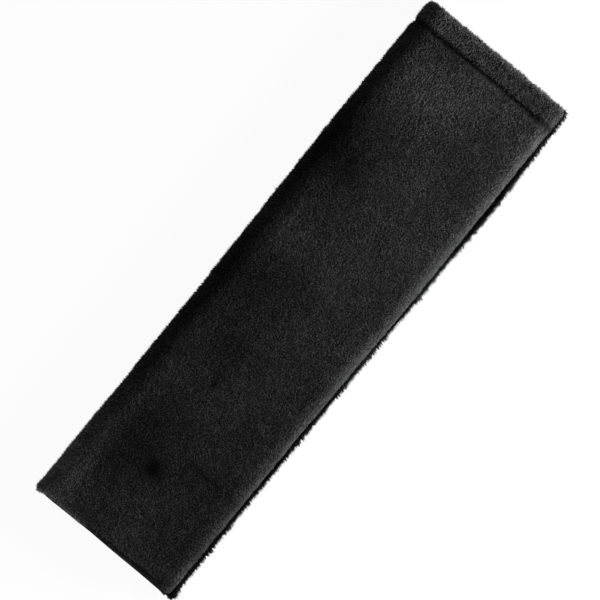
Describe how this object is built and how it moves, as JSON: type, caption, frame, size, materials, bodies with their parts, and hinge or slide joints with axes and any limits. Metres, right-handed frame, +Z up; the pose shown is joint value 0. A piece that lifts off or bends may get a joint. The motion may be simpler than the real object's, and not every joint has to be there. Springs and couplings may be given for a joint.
{
  "type": "seat belt shoulder pad",
  "caption": "Padded plush sleeve that folds round a car seat belt at the shoulder and closes along one long edge with a hook and loop strip.",
  "frame": {"origin": "under the middle of the pad, on the surface that its lower half lies on", "axes": "+X across the pad from the fold to the closing edge, +Y along the belt towards the topstitched end, +Z up through both halves"},
  "size_m": [0.0792, 0.2712, 0.0194],
  "materials": {
    "plush": "short dense pile, soft sheen",
    "foam": "open-cell foam sheet",
    "lining_cloth": "smooth tight weave, slight sheen",
    "hook_tape": "moulded nylon hooks on woven tape",
    "loop_tape": "brushed nylon loops on woven tape",
    "sewing_thread": "twisted polyester thread"
  },
  "bodies": {
    "root": {"plush_cover": "plush", "foam_padding": "foam", "lining": "lining_cloth", "hook_strip": "hook_tape", "loop_strip": "loop_tape", "hook_strip_stitching": "sewing_thread", "loop_strip_stitching": "sewing_thread", "topstitch_needle_thread": "sewing_thread", "topstitch_bobbin_thread": "sewing_thread", "lining_seam_thread": "sewing_thread"}
  },
  "joints": []
}
